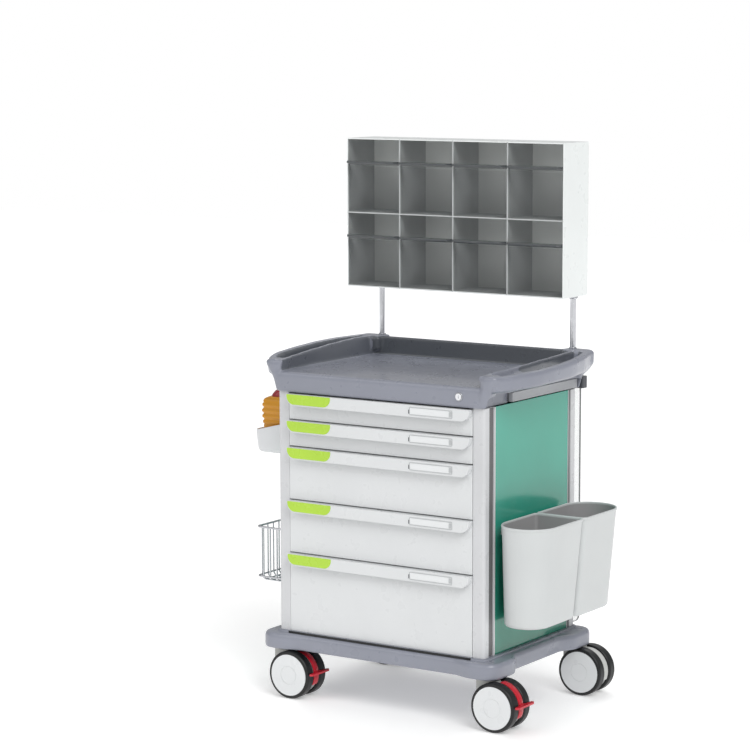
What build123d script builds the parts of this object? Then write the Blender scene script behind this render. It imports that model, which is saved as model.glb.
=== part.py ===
from build123d import *
import os
from math import cos, radians, sin

# Hospital crash cart, millimetres. Origin on the floor under the middle of the carcass.
# +Z is up, the drawers open toward -Y, and +X is the side that carries the waste bins.

# ---- Driving dimensions: carcass ----
carcass_half_width = 311.0
carcass_half_depth = 225.5
base_underside = 127.5
base_rim_top = 168.0
carcass_floor = 174.0
carcass_top = 798.0
column_face_width = 34.0
front_column_depth = 52.0
rear_column_depth = 40.0
column_wall = 3.0
panel_thickness = 4.0

# ---- Driving dimensions: drawers ----
drawer_unit = 69.3
drawer_heights = (1, 1, 2, 2, 3)
drawer_gap = 3.0
front_half_width = 276.0
front_thickness = 16.0
pull_height = 30.0
pull_reach = 17.0
tray_half_width = 263.0
tray_wall = 2.0
tray_length = 396.0
runner_length = 390.0
runner_height = 34.0

# ---- Driving dimensions: casters ----
wheel_radius = 62.5
tyre_width = 28.0
tyre_gap = 26.0
disc_radius = 54.0
caster_trail = 46.0
stem_x = 308.0
stem_y = 217.5
stem_radius = 6.0
axle_radius = 4.0
hood_radius = 57.5
hood_width = 22.0
running_clearance = 0.05

# ---- Driving dimensions: worktop ----
deck_half_width = 316.0
deck_half_depth = 236.0
deck_top = 850.0
deck_skin = 5.0
wall_inner_x = 305.0
wing_reach = 401.0
wing_end_x = 347.0
wing_front_y = -238.0
wing_rear_y = 246.0
wing_underside = 848.0
rim_front_z = 878.0
rim_rear_z = 901.0
grip_width = 24.0
rear_wall_y = 204.0

# ---- Driving dimensions: tilt bin cabinet ----
cabinet_half_width = 331.0
cabinet_front = 119.0
cabinet_back = 246.0
cabinet_bottom = 1040.0
cabinet_top = 1433.0
cabinet_sheet = 3.0
bin_columns = 4
bin_rows = 2
post_x = 296.0
post_y = 233.0
post_radius = 8.0

# ---- Driving dimensions: side accessories ----
accessory_reach = 468.0
bin_back_x = 325.0
waste_bin_rim = 509.0
waste_bin_floor = 252.0
waste_bin_span = 219.0
holder_floor = 612.0
holder_rim = 673.0
holder_back_rim = 702.0
basket_floor = 265.0
basket_rim = 416.0
rail_thickness = 6.0
rail_height = 24.0
rail_standoff = 4.0

parts = []


def keep(part, label):
    """Give a finished sub-part its name and list it for export."""
    part.label = label
    parts.append(part)


def block(x0, x1, y0, y1, z0, z1, mode=Mode.ADD):
    """Add or cut a rectangular block between two corners."""
    with Locations(((x0 + x1) / 2, (y0 + y1) / 2, (z0 + z1) / 2)):
        Box(abs(x1 - x0), abs(y1 - y0), abs(z1 - z0), mode=mode)


# ---- Base: moulded skirt over a welded steel frame ----
skirt_half_width = 335.0
skirt_half_depth = 243.0
pod_reach_x = 357.0
pod_reach_y = 254.0
pod_size_x = 110.0
pod_size_y = 130.0
skirt_wall = 6.0


def base_plan(inset):
    """Plan of the base: a rounded rectangle with a proud bumper pod at each corner."""
    pod_x = pod_reach_x - pod_size_x / 2
    pod_y = pod_reach_y - pod_size_y / 2
    RectangleRounded(2 * (skirt_half_width - inset), 2 * (skirt_half_depth - inset), 20)
    with GridLocations(2 * pod_x, 2 * pod_y, 2, 2):
        RectangleRounded(pod_size_x - 2 * inset, pod_size_y - 2 * inset, 40 - inset)


with BuildPart() as base_moulding:
    with BuildSketch(Plane.XY.offset(base_underside)):
        base_plan(0)
    extrude(amount=base_rim_top - base_underside)
    chamfer(base_moulding.faces().sort_by(Axis.Z)[-1].edges(), 3)
    with BuildSketch(Plane.XY.offset(base_rim_top)):
        RectangleRounded(2 * (carcass_half_width + 8), 2 * (carcass_half_depth + 8), 12)
    extrude(amount=carcass_floor - base_rim_top)
    with BuildSketch(Plane.XY.offset(base_underside)):
        base_plan(skirt_wall)
    extrude(amount=base_rim_top - 4 - base_underside, mode=Mode.SUBTRACT)
keep(base_moulding.part, "base_moulding")

frame_bottom = base_underside + 6.5
frame_top = base_rim_top - 4
tube = 30.0
tube_wall = 3.0

with BuildPart() as base_frame:
    with BuildSketch(Plane.XY.offset(frame_bottom)):
        Rectangle(2 * stem_x + tube, 2 * stem_y + tube)
        Rectangle(2 * stem_x - tube, 2 * stem_y - tube, mode=Mode.SUBTRACT)
    extrude(amount=frame_top - frame_bottom)
    with BuildSketch(Plane.XY.offset(frame_bottom)):
        Rectangle(2 * stem_x + tube - 2 * tube_wall, 2 * stem_y + tube - 2 * tube_wall)
        Rectangle(2 * stem_x - tube + 2 * tube_wall, 2 * stem_y - tube + 2 * tube_wall, mode=Mode.SUBTRACT)
    extrude(amount=frame_top - frame_bottom - tube_wall, mode=Mode.SUBTRACT)
    with BuildSketch(Plane.XY.offset(frame_bottom)):
        with GridLocations(2 * stem_x, 2 * stem_y, 2, 2):
            Rectangle(tube, tube)
    extrude(amount=frame_top - frame_bottom)
    with BuildSketch(Plane.XY.offset(wheel_radius + 36)):
        with GridLocations(2 * stem_x, 2 * stem_y, 2, 2):
            Circle(stem_radius)
    extrude(amount=frame_bottom - wheel_radius - 36)
keep(base_frame.part, "base_frame")

# ---- Casters: twin wheels on a hooded body, with the axle trailing the swivel stem ----
caster_corners = {"fl": (-1, -1), "fr": (1, -1), "rl": (-1, 1), "rr": (1, 1)}
braked_corners = ("fl", "fr")
tyre_inner_y = tyre_gap / 2
tyre_outer_y = tyre_gap / 2 + tyre_width
tyre_shoulder = 6.0
disc_thickness = 4.5
disc_fit = 0.1
rim_wall = 6.0
boss_radius = 14.0
groove_radius = 23.5
axle_end_y = tyre_outer_y - disc_thickness - 0.5
swivel_disc_radius = 24.0
swivel_disc_bottom = 2 * wheel_radius - 2
swivel_disc_top = frame_bottom - 0.5
hood_cut = 22.0
stem_bottom = wheel_radius + 36
pedal_inner = hood_radius + 0.8
pedal_outer = wheel_radius - 0.8
pedal_half_width = 10.5
pedal_start = 4.0
pedal_end = 84.0
foot_half_width = 40.0
foot_inner = wheel_radius + 2.5
foot_outer = wheel_radius + 14.0
foot_bottom = 5.0
foot_top = 12.0


def sector(inner, outer, start, end):
    """Ring segment between two radii and two angles, in degrees from local +X."""
    def at(radius, angle):
        return (radius * cos(radians(angle)), radius * sin(radians(angle)))

    middle = (start + end) / 2
    with BuildSketch() as ring:
        with BuildLine():
            ThreePointArc(at(outer, start), at(outer, middle), at(outer, end))
            Line(at(outer, end), at(inner, end))
            ThreePointArc(at(inner, end), at(inner, middle), at(inner, start))
            Line(at(inner, start), at(outer, start))
        make_face()
    return ring.sketch


for corner, (side_x, side_y) in caster_corners.items():
    stem = (side_x * stem_x, side_y * stem_y)
    hub = (stem[0] + caster_trail, stem[1])
    wheel_plane = Plane(origin=(hub[0], hub[1], wheel_radius), x_dir=(1, 0, 0), z_dir=(0, -1, 0))
    axle_line = Axis((hub[0], hub[1], wheel_radius), (0, 1, 0))

    with BuildPart() as caster_body:
        # Hood: a disc between the tyres, cut flat below the axle
        with BuildSketch(wheel_plane):
            Circle(hood_radius)
            with Locations((0, -hood_radius)):
                Rectangle(2 * hood_radius, 2 * (hood_radius - hood_cut), mode=Mode.SUBTRACT)
        extrude(amount=hood_width / 2, both=True)
        # Neck and swivel disc round the stem
        block(stem[0] - 18, hub[0] - 6, stem[1] - hood_width / 2, stem[1] + hood_width / 2,
              wheel_radius + 20, swivel_disc_bottom)
        with BuildSketch(Plane.XY.offset(swivel_disc_bottom)):
            with Locations(stem):
                Circle(swivel_disc_radius)
        extrude(amount=swivel_disc_top - swivel_disc_bottom)
        with BuildSketch(Plane.XY.offset(stem_bottom - 1)):
            with Locations(stem):
                Circle(stem_radius + running_clearance)
        extrude(amount=swivel_disc_top - stem_bottom + 1, mode=Mode.SUBTRACT)
        with BuildSketch(wheel_plane):
            Circle(axle_radius)
        extrude(amount=hood_width, both=True, mode=Mode.SUBTRACT)
    with BuildPart() as caster_axle:
        with BuildSketch(wheel_plane):
            Circle(axle_radius)
        extrude(amount=axle_end_y, both=True)
    keep(Compound(children=[caster_body.part, caster_axle.part]), f"caster_{corner}_housing")

    section_plane = Plane(origin=(hub[0], hub[1], wheel_radius), x_dir=(1, 0, 0), z_dir=(0, 0, 1))
    with BuildPart() as caster_tyres:
        with BuildSketch(section_plane):
            with GridLocations(0, tyre_inner_y + tyre_outer_y, 1, 2):
                with Locations(((disc_radius + wheel_radius) / 2, 0)):
                    Rectangle(wheel_radius - disc_radius, tyre_width)
        revolve(axis=axle_line)
        treads = caster_tyres.edges().filter_by(GeomType.CIRCLE)
        fillet(treads.filter_by(lambda edge: abs(edge.radius - wheel_radius) < 0.1), tyre_shoulder)
    keep(caster_tyres.part, f"caster_{corner}_tyres")

    with BuildPart() as caster_hubs:
        disc_inner_y = tyre_outer_y - disc_thickness
        rim_outer = disc_radius - disc_fit
        with BuildSketch(section_plane):
            for face in (-1, 1):
                with Locations((rim_outer / 2, face * (disc_inner_y + tyre_outer_y) / 2)):
                    Rectangle(rim_outer, disc_thickness)
                with Locations((rim_outer - rim_wall / 2, face * (tyre_inner_y + tyre_outer_y) / 2)):
                    Rectangle(rim_wall, tyre_width)
                bore = axle_radius + running_clearance
                with Locations(((bore + boss_radius) / 2, face * (tyre_inner_y + disc_inner_y) / 2)):
                    Rectangle(boss_radius - bore, disc_inner_y - tyre_inner_y)
                with Locations((groove_radius, face * tyre_outer_y)):
                    Rectangle(1.6, 1.6, mode=Mode.SUBTRACT)
        revolve(axis=axle_line)
    keep(caster_hubs.part, f"caster_{corner}_hubs")

    if corner in braked_corners:
        with BuildPart() as brake_pedal:
            # Band over the hood, an arm out past the tread, and a wide foot bar
            with BuildSketch(wheel_plane):
                add(sector(pedal_inner, pedal_outer, pedal_start, pedal_end))
            extrude(amount=pedal_half_width, both=True)
            foot_z = wheel_radius + foot_bottom
            block(hub[0] + pedal_inner + 1, hub[0] + foot_outer, hub[1] - pedal_half_width,
                  hub[1] + pedal_half_width, foot_z, foot_z + foot_top - foot_bottom)
            block(hub[0] + foot_inner, hub[0] + foot_outer, hub[1] - foot_half_width,
                  hub[1] + foot_half_width, foot_z, foot_z + foot_top - foot_bottom)
            outer_edges = brake_pedal.edges().filter_by(Axis.Z).sort_by(Axis.X)[-2:]
            fillet(outer_edges, 8)
        keep(brake_pedal.part, f"brake_pedal_{corner}")

# ---- Carcass: four hollow columns, two side panels and a back panel ----
column_ends = {-1: front_column_depth, 1: rear_column_depth}
groove_width = 6.0
groove_depth = 2.0
column_nose = 5.0

with BuildPart() as corner_columns:
    with BuildSketch(Plane.XY.offset(carcass_floor)):
        for side_x in (-1, 1):
            for side_y, depth in column_ends.items():
                centre_x = side_x * (carcass_half_width - column_face_width / 2)
                centre_y = side_y * (carcass_half_depth - depth / 2)
                with Locations((centre_x, centre_y)):
                    Rectangle(column_face_width, depth)
                    Rectangle(column_face_width - 2 * column_wall, depth - 2 * column_wall,
                              mode=Mode.SUBTRACT)
                with Locations((side_x * carcass_half_width, side_y * (carcass_half_depth - 0.6 * depth))):
                    Rectangle(2 * groove_depth, groove_width, mode=Mode.SUBTRACT)
    extrude(amount=carcass_top - carcass_floor)
    uprights = corner_columns.edges().filter_by(Axis.Z)
    noses = uprights.filter_by(lambda edge: abs(edge.center().X) > carcass_half_width - 0.1
                               and abs(edge.center().Y) > carcass_half_depth - 0.1)
    fillet(noses, column_nose)
keep(corner_columns.part, "corner_columns")

panel_outer_x = carcass_half_width - 1.5
with BuildPart() as side_panels:
    for side_x in (-1, 1):
        block(side_x * (panel_outer_x - panel_thickness), side_x * panel_outer_x,
              front_column_depth - carcass_half_depth, carcass_half_depth - rear_column_depth,
              carcass_floor, carcass_top)
keep(side_panels.part, "side_panels")

column_inner_x = carcass_half_width - column_face_width
with BuildPart() as back_panel:
    block(-column_inner_x, column_inner_x, carcass_half_depth - 2 - panel_thickness,
          carcass_half_depth - 2, carcass_floor, carcass_top)
keep(back_panel.part, "back_panel")

# ---- Drawers: tray with moving runners, front, pull and label pieces ----
tray_floor_rise = 6.0
tray_top_drop = 12.0
tray_front_y = front_thickness - carcass_half_depth
runner_front_y = tray_front_y + 4.0
runner_centre_rise = 22.0
runner_sheet = 1.5
pull_wall = 3.5
pull_corner = 25.0
tag_size = (135.0, 24.0)
tag_left = -272.0
tag_corner = 20.0
window_size = (126.0, 20.0)
window_left = 102.0
label_thickness = 1.4
pull_front_y = -carcass_half_depth - pull_reach

drawer_spans = []
for index, units in enumerate(drawer_heights):
    top = carcass_top - drawer_unit * sum(drawer_heights[:index])
    drawer_spans.append((top - drawer_unit * units, top - drawer_gap))

for number, (bottom, top) in enumerate(drawer_spans, start=1):
    tray_floor = bottom + tray_floor_rise
    tray_top = top - tray_top_drop
    runner_z = tray_floor + runner_centre_rise

    with BuildPart() as drawer_tray:
        block(-tray_half_width, tray_half_width, tray_front_y, tray_front_y + tray_length,
              tray_floor, tray_top)
        block(tray_wall - tray_half_width, tray_half_width - tray_wall, tray_front_y + tray_wall,
              tray_front_y + tray_length - tray_wall, tray_floor + tray_wall, tray_top,
              mode=Mode.SUBTRACT)
    with BuildPart() as moving_runners:
        for side_x in (-1, 1):
            block(side_x * tray_half_width, side_x * (tray_half_width + 9), runner_front_y,
                  runner_front_y + runner_length, runner_z - 13, runner_z + 13)
    keep(Compound(children=[drawer_tray.part, moving_runners.part]), f"drawer_{number}_tray")

    with BuildPart() as drawer_front:
        block(-front_half_width, front_half_width, -carcass_half_depth, tray_front_y, bottom, top)
        fillet(drawer_front.edges().filter_by(Axis.Y), 2)
    keep(drawer_front.part, f"drawer_{number}_front")

    with BuildPart() as drawer_pull:
        # Hooked lip across the front, open underneath for the fingers
        block(1 - front_half_width, front_half_width - 1, pull_front_y, -carcass_half_depth,
              top - pull_height, top)
        fillet(drawer_pull.edges().filter_by(Axis.Y).group_by(Axis.Z)[0], pull_corner)
        fillet(drawer_pull.faces().sort_by(Axis.Y)[0].edges(), 1.5)
        block(1 + pull_wall - front_half_width, front_half_width - 1 - pull_wall,
              pull_front_y + pull_wall, -carcass_half_depth, top - pull_height, top - pull_wall,
              mode=Mode.SUBTRACT)
    keep(drawer_pull.part, f"drawer_{number}_handle")

    pull_face = Plane(origin=(0, pull_front_y, 0), x_dir=(1, 0, 0), z_dir=(0, -1, 0))
    label_z = top - pull_height / 2
    with BuildPart() as drawer_labels:
        for left, (width, height), corner in ((tag_left, tag_size, tag_corner),
                                              (window_left, window_size, 4)):
            with BuildSketch(pull_face) as label:
                with Locations((left + width / 2, label_z)):
                    Rectangle(width, height)
                fillet(label.vertices().group_by(Axis.Y)[0], corner)
            extrude(amount=label_thickness)
    keep(drawer_labels.part, f"drawer_{number}_labels")

# ---- Fixed runners for the drawers and the guides of the pull-out shelf ----
shelf_front_y = -96.0
shelf_rear_y = 216.0
shelf_bottom = 803.0
shelf_top = 821.0
guide_thickness = 6.5
guide_lip = 7.0

with BuildPart() as fixed_runners:
    for bottom, top in drawer_spans:
        runner_z = bottom + tray_floor_rise + runner_centre_rise
        for side_x in (-1, 1):
            block(side_x * (tray_half_width + 2), side_x * column_inner_x, runner_front_y,
                  runner_front_y + runner_length + 15, runner_z - runner_height / 2,
                  runner_z + runner_height / 2)
            block(side_x * (tray_half_width + 2), side_x * (column_inner_x - 2.5), runner_front_y,
                  runner_front_y + runner_length + 15, runner_z - runner_height / 2 + runner_sheet,
                  runner_z + runner_height / 2 - runner_sheet, mode=Mode.SUBTRACT)
    for edge_y, outward in ((shelf_front_y, -1), (shelf_rear_y, 1)):
        wall_y = edge_y + outward * 0.5
        block(30, 296, wall_y, wall_y + outward * guide_thickness, carcass_top + 2.5, deck_top - deck_skin)
        block(30, 296, wall_y, wall_y - outward * guide_lip, carcass_top + 2.5, shelf_bottom - 0.3)
keep(fixed_runners.part, "fixed_runners")

# ---- Worktop: moulded tray with raised walls and a grip wing on each side ----
apron_side = 16.0
apron_front = 10.0
slot_front_y = -165.0
slot_rear_y = 182.0
slot_end_x = 349.0
rear_ledge_z = 880.0
rear_wall_thickness = 10.0
shelf_mouth = (-218.0, 226.0, 800.0, 827.0)
lock_x = 243.0
lock_z = 825.0
lock_radius = 8.5
post_socket_depth = 15.0
rim_slope = (rim_rear_z - rim_front_z) / (2 * deck_half_depth - 20)

with BuildPart() as worktop:
    with BuildSketch(Plane.XY.offset(carcass_top)):
        RectangleRounded(2 * deck_half_width, 2 * deck_half_depth, 24)
    extrude(amount=deck_top - carcass_top)
    # Wings: bowed outer edge, flat end faces, tops cut to the rising rim line
    for side_x in (-1, 1):
        with BuildSketch(Plane.XY.offset(wing_underside)):
            with BuildLine():
                Line((side_x * wall_inner_x, wing_front_y), (side_x * wing_end_x, wing_front_y))
                ThreePointArc((side_x * wing_end_x, wing_front_y), (side_x * wing_reach, 4),
                              (side_x * wing_end_x, wing_rear_y))
                Line((side_x * wing_end_x, wing_rear_y), (side_x * wall_inner_x, wing_rear_y))
                Line((side_x * wall_inner_x, wing_rear_y), (side_x * wall_inner_x, wing_front_y))
            make_face()
        extrude(amount=rim_rear_z + 4 - wing_underside)
        # Grip slot between the raised wall and the bowed bar
        with BuildSketch(Plane.XY.offset(carcass_top)):
            with BuildLine():
                Line((side_x * (deck_half_width + 1), slot_front_y), (side_x * slot_end_x, slot_front_y))
                ThreePointArc((side_x * slot_end_x, slot_front_y),
                              (side_x * (wing_reach - grip_width), (slot_front_y + slot_rear_y) / 2),
                              (side_x * slot_end_x, slot_rear_y))
                Line((side_x * slot_end_x, slot_rear_y), (side_x * (deck_half_width + 1), slot_rear_y))
                Line((side_x * (deck_half_width + 1), slot_rear_y),
                     (side_x * (deck_half_width + 1), slot_front_y))
            make_face()
        extrude(amount=rim_rear_z + 10 - carcass_top, mode=Mode.SUBTRACT)
    ends = worktop.edges().filter_by(Axis.Z).filter_by(
        lambda edge: abs(abs(edge.center().X) - wing_end_x) < 0.1)
    fillet(ends, 22)
    block(-wall_inner_x, wall_inner_x, rear_wall_y, rear_wall_y + rear_wall_thickness,
          deck_top, rim_rear_z + 4)
    block(-wall_inner_x, wall_inner_x, rear_wall_y + rear_wall_thickness, wing_rear_y,
          wing_underside, rear_ledge_z)
    block(-wall_inner_x - 20, -post_x + 20, rear_wall_y + rear_wall_thickness, wing_rear_y,
          rear_ledge_z, rim_rear_z + 4)
    block(post_x - 20, wall_inner_x + 20, rear_wall_y + rear_wall_thickness, wing_rear_y,
          rear_ledge_z, rim_rear_z + 4)
    split(bisect_by=Plane(origin=(0, wing_front_y, rim_front_z), z_dir=(0, -rim_slope, 1)),
          keep=Keep.BOTTOM)
    # Pocket beneath the deck, the shelf mouth, the lock hole and the post sockets
    block(apron_side - deck_half_width, deck_half_width - apron_side, apron_front - deck_half_depth,
          deck_half_depth - apron_front, carcass_top, deck_top - deck_skin, mode=Mode.SUBTRACT)
    block(deck_half_width - apron_side - 5, deck_half_width + 5, *shelf_mouth, mode=Mode.SUBTRACT)
    with BuildSketch(Plane(origin=(lock_x, -deck_half_depth - 1, lock_z), z_dir=(0, 1, 0))):
        Circle(lock_radius + running_clearance)
    extrude(amount=apron_front + 2, mode=Mode.SUBTRACT)
    with BuildSketch(Plane.XY.offset(rear_ledge_z - post_socket_depth)):
        with GridLocations(2 * post_x, 0, 2, 1):
            with Locations((0, post_y)):
                Circle(post_radius + running_clearance)
    extrude(amount=rim_rear_z, mode=Mode.SUBTRACT)
keep(worktop.part, "worktop")

# ---- Pull-out side shelf ----
shelf_face_bottom = 801.5
shelf_face_top = 825.5
with BuildPart() as side_shelf:
    block(24, 302, shelf_front_y, shelf_rear_y, shelf_bottom, shelf_top)
    block(302, deck_half_width - 1, shelf_front_y - 4, shelf_rear_y + 8, shelf_face_bottom, shelf_face_top)
keep(side_shelf.part, "side_shelf")

# ---- Drawer lock: cylinder with a cam behind the apron ----
cam_length = 17.0
with BuildPart() as lock_cylinder:
    with BuildSketch(Plane(origin=(lock_x, -deck_half_depth - 3, lock_z), z_dir=(0, 1, 0))):
        Circle(lock_radius)
    extrude(amount=apron_front + 10)
    cam_y = apron_front - deck_half_depth + 3
    block(lock_x - 6, lock_x + cam_length, cam_y, cam_y + 3, lock_z - 6, lock_z + 6)
    # Keyway
    block(lock_x - 1, lock_x + 1, -deck_half_depth - 4, -deck_half_depth, lock_z - 4, lock_z + 4,
          mode=Mode.SUBTRACT)
keep(lock_cylinder.part, "lock_cylinder")

# ---- Tilt bin cabinet on two posts ----
cell_width = (2 * cabinet_half_width - (bin_columns + 1) * cabinet_sheet) / bin_columns
cell_height = (cabinet_top - cabinet_bottom - (bin_rows + 1) * cabinet_sheet) / bin_rows
cell_pitch_x = cell_width + cabinet_sheet
cell_pitch_z = cell_height + cabinet_sheet
pivot_y = cabinet_front + 5.0
pivot_rise = 6.0
pivot_radius = 2.5
pivot_depth = 1.3
tilt_bin_gap = 0.9
tilt_bin_wall = 2.0
tilt_bin_depth = 99.5
tilt_bin_front_height = 134.0
tilt_bin_rear_height = 112.0
tilt_lip_reach = 19.0
tilt_lip_thickness = 3.0

cells = []
for row in range(bin_rows):
    for column in range(bin_columns):
        centre_x = (column - (bin_columns - 1) / 2) * cell_pitch_x
        cells.append((centre_x, cabinet_top - cabinet_sheet - cell_height - row * cell_pitch_z))

with BuildPart() as bin_cabinet:
    block(-cabinet_half_width, cabinet_half_width, cabinet_front, cabinet_back,
          cabinet_bottom, cabinet_top)
    for centre_x, cell_floor in cells:
        block(centre_x - cell_width / 2, centre_x + cell_width / 2, cabinet_front,
              cabinet_back - cabinet_sheet, cell_floor, cell_floor + cell_height, mode=Mode.SUBTRACT)
        with BuildSketch(Plane.YZ.offset(centre_x)):
            with Locations((pivot_y, cell_floor + pivot_rise)):
                Circle(pivot_radius + running_clearance)
        extrude(amount=cell_width / 2 + pivot_depth, both=True, mode=Mode.SUBTRACT)
keep(bin_cabinet.part, "bin_cabinet")

for number, (centre_x, cell_floor) in enumerate(cells, start=1):
    half = cell_width / 2 - tilt_bin_gap
    floor_z = cell_floor + 1.5
    front_y = cabinet_front + 1.5
    rear_y = front_y + tilt_bin_depth
    with BuildPart() as tilt_bin:
        with BuildSketch(Plane.YZ.offset(centre_x)):
            with BuildLine():
                Polyline((front_y, floor_z), (rear_y, floor_z), (rear_y, floor_z + tilt_bin_rear_height),
                         (front_y, floor_z + tilt_bin_front_height), close=True)
            make_face()
        extrude(amount=half, both=True)
        with BuildSketch(Plane.YZ.offset(centre_x)):
            with BuildLine():
                Polyline((front_y + tilt_bin_wall, floor_z + tilt_bin_wall),
                         (rear_y - tilt_bin_wall, floor_z + tilt_bin_wall),
                         (rear_y - tilt_bin_wall, floor_z + tilt_bin_front_height + 1),
                         (front_y + tilt_bin_wall, floor_z + tilt_bin_front_height + 1), close=True)
            make_face()
        extrude(amount=half - tilt_bin_wall, both=True, mode=Mode.SUBTRACT)
        lip_top = floor_z + tilt_bin_front_height
        block(centre_x - half, centre_x + half, front_y - tilt_lip_reach, front_y,
              lip_top - tilt_lip_thickness, lip_top)
        for side_x in (-1, 1):
            with BuildSketch(Plane.YZ.offset(centre_x + side_x * (half + 0.95))):
                with Locations((pivot_y, cell_floor + pivot_rise)):
                    Circle(pivot_radius)
            extrude(amount=0.95, both=True)
    keep(tilt_bin.part, f"tilt_bin_{number}")

with BuildPart() as cabinet_posts:
    with BuildSketch(Plane.XY.offset(rear_ledge_z - post_socket_depth)):
        with GridLocations(2 * post_x, 0, 2, 1):
            with Locations((0, post_y)):
                Circle(post_radius)
    extrude(amount=cabinet_bottom - rear_ledge_z + post_socket_depth)
keep(cabinet_posts.part, "cabinet_posts")

# ---- Resuscitation board behind the carcass ----
board_front_y = 246.5
board_thickness = 6.5
board_half_width = 311.0
board_bottom = 176.0
board_top = 842.0
with BuildPart() as cpr_board:
    with BuildSketch(Plane(origin=(0, board_front_y, 0), x_dir=(-1, 0, 0), z_dir=(0, 1, 0))):
        with Locations((0, (board_bottom + board_top) / 2)):
            RectangleRounded(2 * board_half_width, board_top - board_bottom, 18)
        with Locations((0, board_top - 90)):
            SlotOverall(130, 34, mode=Mode.SUBTRACT)
    extrude(amount=board_thickness)
keep(cpr_board.part, "cpr_board")

# ---- Accessory rails on both side panels, board guides at the rear and board feet ----
right_rail_top = 494.0
holder_rail_top = 688.0
basket_rail_top = 404.0
rail_half_length = 150.0
rail_spacer_y = 138.0
guide_top = 829.0


def accessory_rail(side_x, top):
    """Flat rail held off the side panel by a spacer at each end."""
    inner = carcass_half_width + rail_standoff
    block(side_x * inner, side_x * (inner + rail_thickness), -rail_half_length, rail_half_length,
          top - rail_height, top)
    for spacer_y in (-rail_spacer_y, rail_spacer_y):
        block(side_x * panel_outer_x, side_x * inner, spacer_y - 8, spacer_y + 8,
              top - rail_height + 4, top - 4)


with BuildPart() as accessory_rails:
    accessory_rail(1, right_rail_top)
    accessory_rail(-1, holder_rail_top)
    accessory_rail(-1, basket_rail_top)
    for side_x in (-1, 1):
        block(side_x * 295, side_x * 325, deck_half_depth, 258.5, carcass_top, guide_top)
        block(side_x * 290, side_x * (board_half_width + 0.4), board_front_y - 0.4,
              board_front_y + board_thickness + 0.4, carcass_top, guide_top, mode=Mode.SUBTRACT)
        block(side_x * 180, side_x * 220, carcass_half_depth + 8, 258.5, base_rim_top + 2, board_bottom)
keep(accessory_rails.part, "accessory_rails")


def rail_hook(side_x, centre_y, top, half_width):
    """Hook from an accessory's back wall over the rail and down behind it."""
    back = carcass_half_width + 1.3
    block(side_x * back, side_x * bin_back_x, centre_y - half_width, centre_y + half_width, top, top + 3)
    block(side_x * back, side_x * (back + 2), centre_y - half_width, centre_y + half_width,
          top - 10, top + 3)


# ---- Waste bins: a pair of round-ended bins that meet in the middle ----
waste_wall = 3.0
waste_rim = 2.0
waste_near_radius = 14.0
waste_inner_radius = 8.0
waste_taper_x = 22.0
waste_taper_y = 12.0


def waste_plan(side_y, height_share, inset):
    """Plan of a waste bin, from its floor (0) to its rim (1), moved in by an inset."""
    inner_x = bin_back_x + inset
    outer_x = accessory_reach - waste_rim - waste_taper_x * (1 - height_share) - inset
    near_y = 3 + inset
    far_y = waste_bin_span - waste_rim - waste_taper_y * (1 - height_share) - inset
    corners = [(inner_x, near_y), (outer_x, near_y), (outer_x, far_y), (inner_x, far_y)]
    end_radius = (outer_x - inner_x) / 2 - 1
    with BuildSketch() as plan:
        with BuildLine():
            FilletPolyline(*[(x, side_y * y) for x, y in corners],
                           radius=[waste_inner_radius, waste_near_radius, end_radius, end_radius],
                           close=True)
        make_face()
    return plan.sketch


for side_y, place in ((-1, "front"), (1, "rear")):
    with BuildPart() as waste_bin:
        with BuildSketch(Plane.XY.offset(waste_bin_floor)):
            add(waste_plan(side_y, 0, 0))
        with BuildSketch(Plane.XY.offset(waste_bin_rim)):
            add(waste_plan(side_y, 1, 0))
        loft()
        with BuildSketch(Plane.XY.offset(waste_bin_rim - 6)):
            add(waste_plan(side_y, 1, -waste_rim))
        extrude(amount=6)
        with BuildSketch(Plane.XY.offset(waste_bin_floor + waste_wall)):
            add(waste_plan(side_y, 0, waste_wall))
        with BuildSketch(Plane.XY.offset(waste_bin_rim)):
            add(waste_plan(side_y, 1, waste_wall))
        loft(mode=Mode.SUBTRACT)
        rail_hook(1, side_y * 75, right_rail_top, 35)
    keep(waste_bin.part, f"waste_bin_{place}")

# ---- Sharps holder and container, and the basket, on the left ----
holder_front_y = -118.0
holder_rear_y = 32.0
holder_wall = 3.0


def holder_profile(inset, floor_z, extra):
    """Side profile of the holder in XZ, as seen from the front: low lip, high back."""
    with BuildSketch() as profile:
        with BuildLine():
            Polyline((-bin_back_x - inset, floor_z), (-bin_back_x - inset, holder_back_rim + extra),
                     (-bin_back_x - 22, holder_back_rim + extra), (-bin_back_x - 60, holder_rim + extra),
                     (-accessory_reach + inset, holder_rim + extra),
                     (-accessory_reach + 6 + inset, floor_z), close=True)
        make_face()
    return profile.sketch


with BuildPart() as sharps_holder:
    with BuildSketch(Plane(origin=(0, holder_front_y, 0), x_dir=(1, 0, 0), z_dir=(0, -1, 0))):
        add(holder_profile(0, holder_floor, 0))
    extrude(amount=holder_front_y - holder_rear_y)
    fillet(sharps_holder.edges().filter_by(Axis.Z), 5)
    with BuildSketch(Plane(origin=(0, holder_front_y + holder_wall, 0), x_dir=(1, 0, 0), z_dir=(0, -1, 0))):
        add(holder_profile(holder_wall, holder_floor + holder_wall, 1))
    extrude(amount=holder_front_y - holder_rear_y + 2 * holder_wall, mode=Mode.SUBTRACT)
    rail_hook(-1, (holder_front_y + holder_rear_y) / 2, holder_rail_top, 40)
keep(sharps_holder.part, "sharps_holder")

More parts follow.
